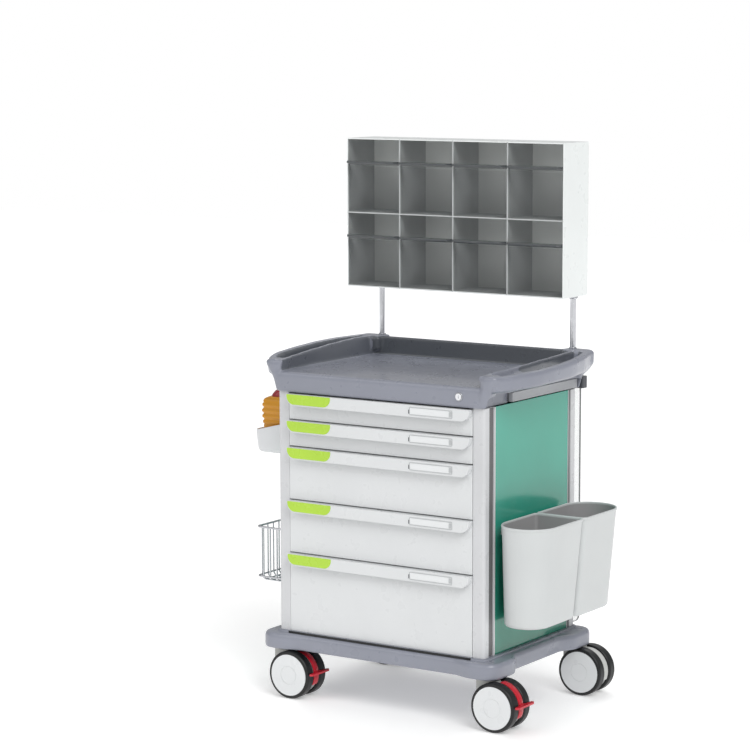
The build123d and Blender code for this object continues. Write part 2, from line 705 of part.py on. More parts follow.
container_x = -397.0
container_y = -43.0
container_top = 759.0
lid_top = 779.0
with BuildPart() as sharps_tub:
    with BuildSketch(Plane.XY.offset(holder_floor + holder_wall)):
        with Locations((container_x, container_y)):
            RectangleRounded(120, 130, 12)
    extrude(amount=container_top - holder_floor - holder_wall)
    with BuildSketch(Plane.XY.offset(holder_floor + 2 * holder_wall)):
        with Locations((container_x, container_y)):
            RectangleRounded(115, 125, 9.5)
    extrude(amount=container_top - holder_floor - holder_wall, mode=Mode.SUBTRACT)
with BuildPart() as sharps_lid:
    with BuildSketch(Plane.XY.offset(container_top)):
        with Locations((container_x, container_y)):
            RectangleRounded(122, 132, 13)
    extrude(amount=lid_top - container_top)
    with BuildSketch(Plane.XY.offset(container_top)):
        with Locations((container_x, container_y)):
            SlotOverall(70, 40)
    extrude(amount=lid_top - container_top, mode=Mode.SUBTRACT)
keep(Compound(children=[sharps_tub.part, sharps_lid.part]), "sharps_container")

basket_outer_x = -460.0
basket_front_y = -130.0
basket_rear_y = 170.0
basket_wall = 4.0
with BuildPart() as wire_basket:
    block(basket_outer_x, -bin_back_x, basket_front_y, basket_rear_y, basket_floor, basket_rim)
    block(basket_outer_x + basket_wall, -bin_back_x - basket_wall, basket_front_y + basket_wall,
          basket_rear_y - basket_wall, basket_floor + basket_wall, basket_rim, mode=Mode.SUBTRACT)
    rail_hook(-1, (basket_front_y + basket_rear_y) / 2, basket_rail_top, 60)
keep(wire_basket.part, "wire_basket")

os.makedirs("parts", exist_ok=True)
for piece in parts:
    export_step(piece, f"parts/{piece.label}.step")
print(len(parts), "sub-parts written")
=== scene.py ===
from math import cos, pi, radians, sin, sqrt

import bmesh
import bpy
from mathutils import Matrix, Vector


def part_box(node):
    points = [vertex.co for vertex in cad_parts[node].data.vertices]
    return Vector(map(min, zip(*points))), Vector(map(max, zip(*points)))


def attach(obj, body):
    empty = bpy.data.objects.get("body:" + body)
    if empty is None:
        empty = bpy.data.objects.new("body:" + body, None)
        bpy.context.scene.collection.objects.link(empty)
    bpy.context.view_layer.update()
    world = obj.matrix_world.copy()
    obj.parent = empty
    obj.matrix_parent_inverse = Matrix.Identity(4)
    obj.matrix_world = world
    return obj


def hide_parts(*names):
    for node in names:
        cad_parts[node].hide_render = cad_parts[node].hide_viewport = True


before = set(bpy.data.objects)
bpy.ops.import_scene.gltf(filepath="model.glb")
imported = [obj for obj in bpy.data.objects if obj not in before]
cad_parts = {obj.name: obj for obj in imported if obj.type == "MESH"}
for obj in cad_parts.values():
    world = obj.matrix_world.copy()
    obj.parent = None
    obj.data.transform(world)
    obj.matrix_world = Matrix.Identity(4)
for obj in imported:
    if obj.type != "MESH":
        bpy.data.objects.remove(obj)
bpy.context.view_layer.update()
scene = bpy.context.scene
scene.view_settings.view_transform = "Standard"

MM = 0.001

# ---- Camera: fitted so that the cart's straight edges lie as in the photograph ----
LENS, SHIFT = 122.81, (-0.0667, 0.0333)
CAMERA_PLACE = (3.53557, -5.48903, 1.68689)
LOOK_DOWN, TURNED_RIGHT = 7.986, 32.846
camera_data = bpy.data.cameras.new("camera")
camera_data.sensor_width = 36
camera_data.lens = LENS
camera_data.shift_x, camera_data.shift_y = SHIFT
camera = bpy.data.objects.new("camera", camera_data)
camera.location = CAMERA_PLACE
camera.rotation_euler = (radians(90 - LOOK_DOWN), 0, radians(TURNED_RIGHT))
scene.collection.objects.link(camera)
scene.camera = camera


# ---- Materials ----
def tone(red, green, blue):
    """Linear colour of a tone written in 0-255 display steps."""
    return tuple(((c / 255 + 0.055) / 1.055) ** 2.4 for c in (red, green, blue))


def material(name, colour, roughness, grain=900, depth=0.00003, drift=0.04, metal=0.0, coat=0.0,
             alpha=1.0, stretch=(1, 1, 1), fade=None, scuffs=0.05, painted_shade_mask=None):
    """Procedural finish: slow colour drift, moulded or brushed grain, uneven gloss and light scuffs; the
    fade and the painted-shade mask add optional painted shade.
    """
    mat = bpy.data.materials.new(name)
    mat.use_nodes = True
    nodes, links = mat.node_tree.nodes, mat.node_tree.links
    shader = nodes["Principled BSDF"]
    shader.inputs["Metallic"].default_value = metal
    shader.inputs["Coat Weight"].default_value = coat
    shader.inputs["Coat Roughness"].default_value = 0.08
    shader.inputs["Alpha"].default_value = alpha
    place = nodes.new("ShaderNodeTexCoord")

    def noise(scale, detail, mapping=None):
        node = nodes.new("ShaderNodeTexNoise")
        node.inputs["Scale"].default_value = scale
        node.inputs["Detail"].default_value = detail
        links.new(mapping or place.outputs["Object"], node.inputs["Vector"])
        return node.outputs["Fac"]

    def spread(value, low, high, from_low=0.3, from_high=0.7):
        node = nodes.new("ShaderNodeMapRange")
        limits = {"From Min": from_low, "From Max": from_high, "To Min": low, "To Max": high}
        for key, number in limits.items():
            node.inputs[key].default_value = number
        links.new(value, node.inputs["Value"])
        return node.outputs["Result"]

    def mix(factor, first, second):
        node = nodes.new("ShaderNodeMix")
        node.data_type = "RGBA"
        links.new(factor, node.inputs["Factor"])
        for socket, value in ((node.inputs["A"], first), (node.inputs["B"], second)):
            if isinstance(value, tuple):
                socket.default_value = (*value, 1)
            else:
                links.new(value, socket)
        return node.outputs["Result"]

    dark = tuple(c * (1 - drift) for c in colour)
    light = tuple(min(1.0, c * (1 + drift)) for c in colour)
    base = mix(spread(noise(6, 3), 0, 1), dark, light)
    # Painted shade: the colour darkens to the far tone lower down the object's height
    if fade:
        far, low, high = fade
        split = nodes.new("ShaderNodeSeparateXYZ")
        links.new(place.outputs["Object"], split.inputs["Vector"])
        base = mix(spread(split.outputs["Z"], 1, 0, low, high), base, far)
    stretched = nodes.new("ShaderNodeMapping")
    stretched.inputs["Scale"].default_value = stretch
    links.new(place.outputs["Object"], stretched.inputs["Vector"])
    worn = noise(24, 3)
    scuffed = spread(worn, 0, scuffs, 0.5, 0.85)
    shade = mix(scuffed, base, tuple(c * 0.93 + 0.012 for c in colour))
    # Painted shade: a mesh attribute mixes in a darker colour where shade falls
    if painted_shade_mask:
        attribute = nodes.new("ShaderNodeAttribute")
        attribute.attribute_name = painted_shade_mask[0]
        shade = mix(attribute.outputs["Fac"], shade, painted_shade_mask[1])
    links.new(shade, shader.inputs["Base Color"])
    gloss = spread(noise(30, 2), max(0.03, roughness - 0.05), roughness + 0.09)
    links.new(gloss, shader.inputs["Roughness"])
    bump = nodes.new("ShaderNodeBump")
    bump.inputs["Strength"].default_value = 0.22
    bump.inputs["Distance"].default_value = depth
    links.new(noise(grain, 2, stretched.outputs["Vector"]), bump.inputs["Height"])
    links.new(bump.outputs["Normal"], shader.inputs["Normal"])
    return mat


abs_grey = material("abs_grey", tone(138, 141, 153), 0.3, coat=0.35, depth=0.00002)
# Same grey as abs_grey, with painted shade on the tray's inner walls, rear wall and grip slots
abs_tray_painted_shade = material("abs_tray_painted_shade", tone(138, 141, 153), 0.3, coat=0.35, depth=0.00002,
                    painted_shade_mask=("painted_wall_shade", tone(84, 88, 94)))
abs_dark = material("abs_dark", tone(78, 80, 86), 0.45, depth=0.00002)
shelf_grey = material("shelf_grey", tone(172, 174, 178), 0.4)
frame_steel = material("frame_steel", tone(46, 47, 50), 0.5, grain=500)
aluminium = material("column_aluminium", tone(208, 209, 211), 0.3, grain=1500, stretch=(1, 1, 0.02))
trim_grey = material("trim_grey", tone(104, 103, 104), 0.45)
# Painted shade: the fade darkens the green panels towards the bottom
panel_green = material("panel_green", tone(60, 166, 144), 0.16, coat=0.3, depth=0.00001,
                       fade=(tone(30, 124, 101), 0.15, 0.6), scuffs=0.12)
panel_white = material("panel_white", tone(224, 226, 227), 0.35)
drawer_white = material("drawer_white", tone(220, 222, 223), 0.3, coat=0.12, drift=0.015, scuffs=0.1)
tray_grey = material("tray_grey", tone(205, 207, 210), 0.45)
tag_green = material("tag_green", tone(176, 216, 50), 0.25, coat=0.4, scuffs=0.1)
label_paper = material("label_paper", tone(230, 232, 233), 0.5, drift=0.01, scuffs=0.05)
runner_zinc = material("runner_zinc", tone(190, 192, 196), 0.32, metal=0.9, stretch=(1, 0.03, 1))
caster_grey = material("caster_grey", tone(196, 197, 194), 0.45)
disc_white = material("disc_white", tone(224, 226, 227), 0.3, coat=0.2, drift=0.02, scuffs=0.15)
tyre_black = material("tyre_black", tone(13, 14, 16), 0.42, grain=500, depth=0.0001, scuffs=0.1)
pedal_red = material("pedal_red", tone(196, 20, 42), 0.28, coat=0.3, scuffs=0.2)
chrome = material("lock_chrome", tone(222, 223, 226), 0.12, metal=1.0, scuffs=0.1)
cabinet_white = material("cabinet_white", tone(240, 244, 243), 0.3, drift=0.015, coat=0.2, scuffs=0.08)
cell_wall_painted_shade = material("cell_wall_painted_shade", tone(158, 161, 161), 0.55, drift=0.05)
cell_back_painted_light = material("cell_back_painted_light", tone(206, 209, 207), 0.6, drift=0.06)
divider_grey = material("divider_grey", tone(190, 193, 194), 0.4)
bin_smoke = material("bin_smoke", tone(140, 145, 147), 0.12, alpha=0.055, depth=0.00001)
lip_smoke = material("lip_smoke", tone(86, 90, 92), 0.1, alpha=0.88, coat=0.5, depth=0.00001)
post_steel = material("post_steel", tone(205, 206, 210), 0.16, metal=1.0, stretch=(1, 1, 0.05))
board_clear = material("board_clear", tone(214, 224, 222), 0.1, alpha=0.16, depth=0.00001)
board_edge = material("board_edge", tone(112, 116, 116), 0.25, depth=0.00001)
waste_grey = material("waste_grey", tone(205, 208, 208), 0.35, drift=0.02, coat=0.15)
waste_inner_painted_shade = material("waste_inner_painted_shade", tone(168, 167, 168), 0.6, drift=0.03)
holder_grey = material("holder_grey", tone(228, 229, 231), 0.35, drift=0.02)
sharps_amber = material("sharps_amber", tone(214, 146, 18), 0.35, coat=0.1)
sharps_red = material("sharps_red", tone(150, 24, 34), 0.3, coat=0.3)
wire_chrome = material("wire_chrome", tone(200, 201, 205), 0.2, metal=0.9)


# ---- Mesh building ----
def finish_mesh(piece, bevel, segments=3, angle=32):
    """Round the hard edges of a piece and shade its faces cleanly."""
    for polygon in piece.data.polygons:
        polygon.use_smooth = True
    if bevel:
        modifier = piece.modifiers.new("bevel", "BEVEL")
        modifier.width = bevel * MM
        modifier.segments = segments
        modifier.limit_method = "ANGLE"
        modifier.angle_limit = radians(angle)
    modifier = piece.modifiers.new("normals", "WEIGHTED_NORMAL")
    modifier.keep_sharp = False


class Form:
    """Collects lofted, extruded and turned solids, in millimetres, into one piece."""

    def __init__(self):
        self.verts = []
        self.faces = []

    def loft(self, rings, loop=False):
        """Skin a list of point rings; the ends are capped unless the rings form a loop."""
        start, count, size = len(self.verts), len(rings), len(rings[0])
        for ring in rings:
            self.verts += [tuple(c * MM for c in point) for point in ring]
        for i in range(count if loop else count - 1):
            a, b = start + i * size, start + ((i + 1) % count) * size
            for j in range(size):
                k = (j + 1) % size
                self.faces.append((a + j, a + k, b + k, b + j))
        if not loop:
            self.faces.append(tuple(range(start + size - 1, start - 1, -1)))
            last = start + (count - 1) * size
            self.faces.append(tuple(range(last, last + size)))
        return self

    def prism(self, outline, axis, low, high):
        """Extrude a 2-D outline along an axis; the outline gives the other two axes in order."""
        return self.loft([[place(point, axis, level) for point in outline] for level in (low, high)])

    def box(self, x0, x1, y0, y1, z0, z1):
        return self.prism([(x0, y0), (x1, y0), (x1, y1), (x0, y1)], "z", z0, z1)

    def lathe(self, profile, centre, axis, steps=40):
        """Turn a profile of (radius, height) pairs about an axis through centre; radii stay above zero."""
        rings = []
        for radius, height in profile:
            ring = []
            for i in range(steps):
                turn = 2 * pi * i / steps
                spot = place((radius * cos(turn), radius * sin(turn)), axis, height)
                ring.append(tuple(c + d for c, d in zip(centre, spot)))
            rings.append(ring)
        return self.loft(rings)

    def piece(self, name, mat, body, slot, bevel=0.0, segments=3, angle=32):
        """Make the object, give it its finish, and let it ride on a body."""
        data = bpy.data.meshes.new(name)
        data.from_pydata(self.verts, [], self.faces)
        work = bmesh.new()
        work.from_mesh(data)
        bmesh.ops.recalc_face_normals(work, faces=work.faces)
        work.to_mesh(data)
        work.free()
        made = bpy.data.objects.new(name, data)
        scene.collection.objects.link(made)
        data.materials.append(mat)
        finish_mesh(made, bevel, segments, angle)
        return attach(made, body)


def place(point, axis, level):
    """A 2-D point put in space, at a level along the axis that the outline leaves out."""
    a, b = point
    return {"x": (level, a, b), "y": (a, level, b), "z": (a, b, level)}[axis]


def rounded(points, radii, steps=6):
    """Polygon with its corners rounded; radii is one number or one for each corner."""
    outline = []
    for i, corner in enumerate(points):
        radius = radii if isinstance(radii, (int, float)) else radii[i]
        if radius <= 0:
            outline.append(corner)
            continue
        here = Vector(corner)
        before = (Vector(points[i - 1]) - here).normalized()
        after = (Vector(points[(i + 1) % len(points)]) - here).normalized()
        half = before.angle(after) / 2
        centre = here + (before + after).normalized() * radius / sin(half)
        first = here + before * radius / (sin(half) / cos(half)) - centre
        last = here + after * radius / (sin(half) / cos(half)) - centre
        sweep = first.angle_signed(last)
        for k in range(steps + 1):
            turn = -sweep * k / steps
            x = first.x * cos(turn) - first.y * sin(turn)
            y = first.x * sin(turn) + first.y * cos(turn)
            outline.append((centre.x + x, centre.y + y))
    return outline


def rounded_box(x0, x1, y0, y1, radius, steps=6):
    return rounded([(x0, y0), (x1, y0), (x1, y1), (x0, y1)], radius, steps)


def at_height(outline, z):
    return [(x, y, z) for x, y in outline]


def between(stations, value):
    """Smooth value from a table of (position, value) stations."""
    if value <= stations[0][0]:
        return stations[0][1]
    for (a, va), (b, vb) in zip(stations, stations[1:]):
        if value <= b:
            t = (value - a) / (b - a)
            return va + (vb - va) * (t * 0.5 + 0.5 * t * t * (3 - 2 * t))
    return stations[-1][1]


def low_high(node):
    """Lowest and highest corner of a CAD node, in millimetres."""
    return tuple(tuple(c / MM for c in corner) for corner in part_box(node))


def dress(node, mat, bevel=0.8, segments=2, angle=35):
    """Give a carried-over CAD node its finish, its softened edges and clean shading."""
    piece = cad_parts[node]
    piece.data.materials.clear()
    piece.data.materials.append(mat)
    if "custom_normal" in piece.data.attributes:
        piece.data.attributes.remove(piece.data.attributes["custom_normal"])
    weld = piece.modifiers.new("weld", "WELD")
    weld.merge_threshold = 0.00001
    finish_mesh(piece, bevel, segments, angle)
    return piece


# ---- Carried-over CAD nodes ----
dress("base_frame", frame_steel, 1.5)
dress("side_panels", panel_green, 0.5)
dress("back_panel", panel_white, 0.8)
dress("fixed_runners", runner_zinc, 0.4)
dress("side_shelf", shelf_grey, 2.0, 3)
dress("lock_cylinder", chrome, 0.5)
dress("cabinet_posts", post_steel, 0.4)
for number in range(1, 6):
    dress(f"drawer_{number}_tray", tray_grey, 0.8)
    dress(f"drawer_{number}_front", drawer_white, 1.2, 3)
for corner in ("fl", "fr", "rl", "rr"):
    dress(f"caster_{corner}_housing", caster_grey, 1.2)
    dress(f"caster_{corner}_tyres", tyre_black, 0.6)
    dress(f"caster_{corner}_hubs", disc_white, 0.5)

# ---- Base moulding: skirt with a bumper pod flowing out at each corner ----
base_low, base_high = low_high("base_moulding")
columns_low, columns_high = low_high("corner_columns")
FACE = 34.0
POD_X, POD_Y, POD_RADIUS = 55.0, 65.0, 40.0
SKIRT_IN_X, SKIRT_IN_Y, SKIRT_RADIUS = 22.0, 11.0, 20.0
BLEND = 26.0


def box_distance(x, y, centre_x, centre_y, half_x, half_y, radius):
    """Distance from a rounded rectangle, negative inside."""
    dx, dy = abs(x - centre_x) - half_x + radius, abs(y - centre_y) - half_y + radius
    return sqrt(max(dx, 0) ** 2 + max(dy, 0) ** 2) + min(max(dx, dy), 0) - radius


def base_distance(x, y):
    """Distance from the base's plan, with the pods blended softly into the skirt."""
    x, y = abs(x), abs(y)
    skirt = box_distance(x, y, 0, 0, base_high[0] - SKIRT_IN_X, base_high[1] - SKIRT_IN_Y, SKIRT_RADIUS)
    pod = box_distance(x, y, base_high[0] - POD_X, base_high[1] - POD_Y, POD_X, POD_Y, POD_RADIUS)
    overlap = max(BLEND - abs(skirt - pod), 0) / BLEND
    return min(skirt, pod) - overlap * overlap * BLEND / 4


def base_outline(inset, z, count=240):
    """Ring of the base's plan, moved in by an inset."""
    ring = []
    for i in range(count):
        turn = 2 * pi * (i + 0.5) / count
        ray_x, ray_y = cos(turn) * base_high[0], sin(turn) * base_high[1]
        low, high = 0.3, 1.5
        for _ in range(26):
            middle = (low + high) / 2
            if base_distance(ray_x * middle, ray_y * middle) < -inset:
                low = middle
            else:
                high = middle
        ring.append((ray_x * low, ray_y * low, z))
    return ring


def plateau_ring(half_x, half_y, z, count=240):
    """Ring of a rounded rectangle with the same spacing as the base's outline."""
    ring = []
    for i in range(count):
        turn = 2 * pi * (i + 0.5) / count
        ray_x, ray_y = cos(turn) * base_high[0], sin(turn) * base_high[1]
        low, high = 0.3, 1.5
        for _ in range(26):
            middle = (low + high) / 2
            if box_distance(ray_x * middle, ray_y * middle, 0, 0, half_x, half_y, 14) < 0:
                low = middle
            else:
                high = middle
        ring.append((ray_x * low, ray_y * low, z))
    return ring


bottom, rim_top = base_low[2], base_high[2] - 6
rings = [base_outline(7, rim_top - 4), base_outline(7, bottom + 1), base_outline(5, bottom),
         base_outline(2, bottom + 0.6), base_outline(0.5, bottom + 3), base_outline(0, bottom + 8)]
rings += [base_outline(inset, rim_top - drop)
          for inset, drop in ((0, 13), (0.8, 8), (2.6, 4), (5.4, 1.4), (9, 0))]
plateau_x, plateau_y = columns_high[0] + 8, columns_high[1] + 8
rings += [plateau_ring(plateau_x - inset, plateau_y - inset, z)
          for inset, z in ((-1, rim_top + 0.2), (0, rim_top + 3), (1.5, base_high[2]))]
# Painted shadow: a black strip along the base's top front edge stands in for the shadow in the gap under
# the lowest drawer
Form().box(FACE - columns_high[0], columns_high[0] - FACE, -plateau_y - 1.8, 2 - plateau_y, rim_top + 0.3,
           base_high[2] - 0.1).piece("drawer_gap_shadow", tyre_black, "root", "abs_grey", 0.4)
base_shell = Form().loft(rings).piece("base_shell", abs_grey, "root", "abs_grey")
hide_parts("base_moulding")

# ---- Corner columns: extrusions with a round nose, an accessory groove and a trim lip ----
column_form, trim_form = Form(), Form()
for side_x in (-1, 1):
    for side_y, depth, groove in ((-1, 52.0, (22.5, 46.0)), (1, 40.0, (27.0, 37.5))):
        outer, face_y = columns_high[0], columns_high[1]
        corners = [(outer - FACE, 0), (outer, 0), (outer, groove[0]), (outer - 4.5, groove[0]),
                   (outer - 4.5, groove[1]), (outer, groove[1]), (outer, depth), (outer - FACE, depth)]
        radii = [1.5, 8, 1.2, 0.6, 0.6, 1.2, 1.2, 1]
        outline = [(side_x * x, side_y * (face_y - u)) for x, u in rounded(corners, radii)]
        column_form.prism(outline, "z", columns_low[2], columns_high[2])
        strip = [(outer - 4.4, groove[0] + 1), (outer - 3.6, groove[0] + 1), (outer - 3.6, groove[1] - 1),
                 (outer - 4.4, groove[1] - 1)]
        trim_form.prism([(side_x * x, side_y * (face_y - u)) for x, u in strip], "z",
                        columns_low[2] + 1, columns_high[2] - 1)
columns = column_form.piece("columns", aluminium, "root", "column_aluminium", 0.3)
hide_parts("corner_columns")
trim_form.piece("column_trim", trim_grey, "root", "column_aluminium")

# ---- Drawer pulls, coloured tags and label windows ----
PULL_WALL, PULL_CORNER = 3.5, 25.0
WINDOW_LEFT, WINDOW_RIGHT = 102.0, 228.0
TAG_LENGTH = 135.0
for number in range(1, 6):
    body = f"drawer_{number}"
    low, high = low_high(f"drawer_{number}_handle")
    left, right, front, back, foot, top = low[0], high[0], low[1], high[1], low[2], high[2]
    pull = Form()
    plate = rounded([(left, top), (left, foot), (right, foot), (right, top)],
                    [1.5, PULL_CORNER, PULL_CORNER, 1.5], 10)
    pull.prism(plate, "y", front, front + PULL_WALL)
    for side, edge in ((1, left), (-1, right)):
        outer = rounded([(edge, top), (edge, foot), (edge + side * 60, foot)], [0, PULL_CORNER, 0], 10)
        inner_edge, inner_foot = edge + side * PULL_WALL, foot + PULL_WALL
        inner = rounded([(inner_edge, top - PULL_WALL), (inner_edge, inner_foot),
                         (edge + side * 60, inner_foot)], [0, PULL_CORNER - PULL_WALL, 0], 10)
        band = outer[:8] + inner[7::-1]
        pull.prism(band, "y", front + PULL_WALL - 0.5, back)
    pull.box(left + 1, right - 1, front + PULL_WALL - 0.5, back, top - PULL_WALL, top - 0.2)
    made = pull.piece(f"drawer_{number}_pull", drawer_white, body, "drawer_white", 1.1)
    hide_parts(f"drawer_{number}_handle")

    tag_left = left + 2.6
    tag = rounded([(tag_left, top - 0.6), (tag_left, foot + 3.4), (tag_left + TAG_LENGTH, foot + 3.4),
                   (tag_left + TAG_LENGTH, top - 0.6)], [2, PULL_CORNER - 3, PULL_CORNER - 3, 2], 10)
    made = Form().prism(tag, "y", front - 1.4, front + 0.4).piece(
        f"drawer_{number}_tag", tag_green, body, "tag_green", 0.5)
    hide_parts(f"drawer_{number}_labels")

    middle = (foot + top) / 2
    window = Form()
    frame_outer = rounded_box(WINDOW_LEFT, WINDOW_RIGHT, middle - 10, middle + 10, 3)
    frame_inner = rounded_box(WINDOW_LEFT + 1.6, WINDOW_RIGHT - 1.6, middle - 8.4, middle + 8.4, 1.8)
    window.loft([[(x, y, z) for x, z in ring] for ring, y in
                 ((frame_outer, front), (frame_outer, front - 1.1), (frame_inner, front - 1.1),
                  (frame_inner, front))], loop=True)
    window.prism(rounded_box(WINDOW_RIGHT - 9, WINDOW_RIGHT - 3, middle - 6, middle + 6, 2), "y",
                 front - 1.4, front)
    window.piece(f"drawer_{number}_window", divider_grey, body, "drawer_white", 0.3)
    Form().prism(rounded_box(WINDOW_LEFT + 2, WINDOW_RIGHT - 10, middle - 8, middle + 8, 1.5), "y",
                 front - 0.5, front + 0.2).piece(f"drawer_{number}_card", label_paper, body, "drawer_white")
    Form().prism(rounded_box(WINDOW_LEFT - 2.6, WINDOW_LEFT - 0.4, middle - 7, middle + 3, 0.8), "y",
                 front - 0.8, front + 0.2).piece(f"drawer_{number}_catch", abs_dark, body, "abs_grey")

# ---- Worktop: one moulded tray with leaning walls, corner flares and bowed grips ----
bar_edge = [(340, -229, 878), (349, -220, 879), (368, -190, 881), (379, -160, 884), (390, -125, 885),
            (396, -90, 886), (400, -40, 889), (401, 5, 891), (400, 50, 894), (397, 80, 895),
            (391, 110, 897), (385, 140, 898), (376, 170, 899), (366, 200, 900), (356, 222, 900),
            (342, 238, 900)]
bar_underside = [(-230, 838), (-140, 842), (0, 848), (120, 850), (240, 850)]
wall_lean = [(-236, 294), (-200, 297), (-160, 301), (-100, 309), (-40, 313), (20, 316), (80, 317),
             (140, 316), (170, 313), (206, 308), (240, 305)]
wall_rise = [(-236, 879), (-160, 885), (-40, 891), (20, 895), (140, 900), (240, 901)]
BAR_WIDTH = 24.0
DECK_X, DECK_Y, DECK_TOP, DECK_SKIN, DECK_CORNER = 316.0, 236.0, 850.0, 5.0, 24.0
APRON_SIDE, APRON_FRONT = 16.0, 10.0
apron_bottom = columns_high[2]

moulding = Form()
pocket_x, pocket_y = DECK_X - APRON_SIDE, DECK_Y - APRON_FRONT
pocket = rounded_box(-pocket_x, pocket_x, -pocket_y, pocket_y, 6)
rings = [at_height(pocket, DECK_TOP - DECK_SKIN), at_height(pocket, apron_bottom)]
for inset, z in ((1.5, apron_bottom), (0, apron_bottom + 2), (0, DECK_TOP - 7), (1.2, DECK_TOP - 3.5),
                 (3.6, DECK_TOP - 1), (7, DECK_TOP)):
    half_x, half_y = DECK_X - inset, DECK_Y - inset
    rings.append(at_height(rounded_box(-half_x, half_x, -half_y, half_y, DECK_CORNER - inset), z))
moulding.loft(rings)
for side in (-1, 1):
    # Leaning inner wall
    rings = []
    for i in range(49):
        y = -233 + i * 9.9
        lean, rise = between(wall_lean, y), between(wall_rise, y)
        ring = [(305, 846), (lean, rise - 3), (lean + 3, rise), (lean + 9, rise), (lean + 12, rise - 3),
                (317, 846)]
        rings.append([(side * x, y, z) for x, z in ring])
    moulding.loft(rings)
    # Bowed grip bar
    rings = []
    for i, (x, y, z) in enumerate(bar_edge):
        before, after = bar_edge[max(i - 1, 0)], bar_edge[min(i + 1, len(bar_edge) - 1)]
        along = Vector((after[0] - before[0], after[1] - before[1])).normalized()
        across = Vector((-along.y, along.x))
        foot = between(bar_underside, y)
        half_height = (z - foot) / 2
        ring = []
        for k in range(24):
            turn = 2 * pi * k / 24
            u = abs(cos(turn)) ** 0.55 * (1 if cos(turn) > 0 else -1) * BAR_WIDTH / 2
            v = abs(sin(turn)) ** 0.55 * (1 if sin(turn) > 0 else -1) * half_height
            reach = BAR_WIDTH / 2 + u - 0.12 * (v - half_height) * 0.5
            ring.append((side * (x + across.x * reach), y + across.y * reach, foot + half_height + v))
        rings.append(ring)
    moulding.loft(rings)
    # Front corner, flaring outward as it rises
    rings = []
    for x, y_front, y_back, z, inset in ((319, -235, -196, 799, 2), (321, -237, -190, 820, 0),
                                         (328, -238, -186, 836, 0), (338, -238, -182, 850, 0),
                                         (346, -238, -182, 862, 0), (350, -238, -184, 872, 0),
                                         (349, -238, -186, 877, 2), (346, -236, -188, 880, 5)):
        near = 291 if z < 846 else 298
        corner = min((x - near) / 2 - inset - 0.5, 19)
        plan = rounded_box(near + inset, x - inset, y_front + inset, y_back - inset, corner)
        rings.append(at_height([(side * px, py) for px, py in plan], z))
    moulding.loft(rings)
    # Rear corner under the post
    rings = []
    for x, y_front, z, inset in ((319, 226, 800, 1), (328, 214, 832, 0), (345, 196, 850, 0),
                                 (357, 190, 866, 0), (358, 190, 894, 0), (356, 191, 899, 2),
                                 (352, 194, 901, 5)):
        rear = 236 if z < 845 else 246
        near = 303 if z < 851 else 280
        corner = 4 + min(x - near, 40) / 4
        plan = rounded_box(near + inset, x - inset, y_front + inset, rear - inset, corner)
        rings.append(at_height([(side * px, py) for px, py in plan], z))
    moulding.loft(rings)
    rear_pad = rounded_box(*sorted((side * 276, side * 318)), 208, 246, 8)
    moulding.loft([at_height(rear_pad, z) for z in (846, 901)])
# Rear wall with its ledge
rings = []
for x in (-306, 306):
    rings.append([(x, 205, 846), (x, 208, 897), (x, 210, 900.5), (x, 215, 901), (x, 217, 897),
                  (x, 218, 880), (x, 243, 880), (x, 246, 877), (x, 246, 847)])
moulding.loft(rings)
worktop = moulding.piece("worktop_moulding", abs_grey, "root", "abs_grey")
worktop.modifiers.clear()

cutters = Form()
mouth = rounded([(-227, 790), (226, 790), (226, 827), (-227, 827)], [0, 0, 4, 11])
cutters.prism(mouth, "x", DECK_X - APRON_SIDE - 12, DECK_X + 12)
lock_x, lock_z = 243.0, 825.0
cutters.lathe([(8.7, -14), (8.7, 22)], (lock_x, -DECK_Y, lock_z), "y")
posts_low, posts_high = low_high("cabinet_posts")
post_x, post_y = posts_high[0] - 8, (posts_low[1] + posts_high[1]) / 2
for side in (-1, 1):
    cutters.lathe([(8.1, posts_low[2] - 0.5), (8.1, 930)], (side * post_x, post_y, 0), "z")
cutter = cutters.piece("cutter", abs_grey, "root", "abs_grey")
cutter.modifiers.clear()
remesh = worktop.modifiers.new("remesh", "REMESH")
remesh.mode = "VOXEL"
remesh.voxel_size = 0.0026
soften = worktop.modifiers.new("soften", "SMOOTH")
soften.factor = 0.6
soften.iterations = 16
thin_out = worktop.modifiers.new("thin", "DECIMATE")
thin_out.ratio = 0.35
cut = worktop.modifiers.new("cut", "BOOLEAN")
cut.operation = "DIFFERENCE"
cut.solver = "MANIFOLD"
cut.object = cutter
bpy.context.view_layer.update()
depsgraph = bpy.context.evaluated_depsgraph_get()
shaped = bpy.data.meshes.new_from_object(worktop.evaluated_get(depsgraph))
worktop.modifiers.clear()
worktop.data = shaped
bpy.data.objects.remove(cutter)
shaped.materials.clear()
shaped.materials.append(abs_tray_painted_shade)
# Painted shade: this attribute darkens the inward faces of the tray's inner walls, rear wall and grip slots
# where shade falls
shade = shaped.attributes.new("painted_wall_shade", "FLOAT", "POINT")
for vertex, value in zip(shaped.vertices, shade.data):
    x, y, z = (c / MM for c in vertex.co)
    inside = abs(x) < 321 and -226 < y < 216 and z > 851.5
    facing = -vertex.normal.x if x > 0 else vertex.normal.x
    facing = max(facing, -vertex.normal.y if y > 190 else 0)
    # Painted shade is strongest on the rear wall and weaker on the side walls and slots
    depth = 1.0 if y > 190 and abs(x) < 300 else 0.75  # the rear wall is the darkest
    in_slot = abs(x) > 321 and -178 < y < 196 and z > 846
    if in_slot and abs(x) < 336:
        inside, depth, facing = True, 0.8, abs(vertex.normal.x)
    elif in_slot and facing > 0:
        inside, depth = True, 0.9
    value.value = depth * min(max((facing - 0.25) / 0.4, 0), 1) if inside else 0.0
shaped.shade_smooth()
shaped.set_sharp_from_angle(angle=radians(50))
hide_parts("worktop")

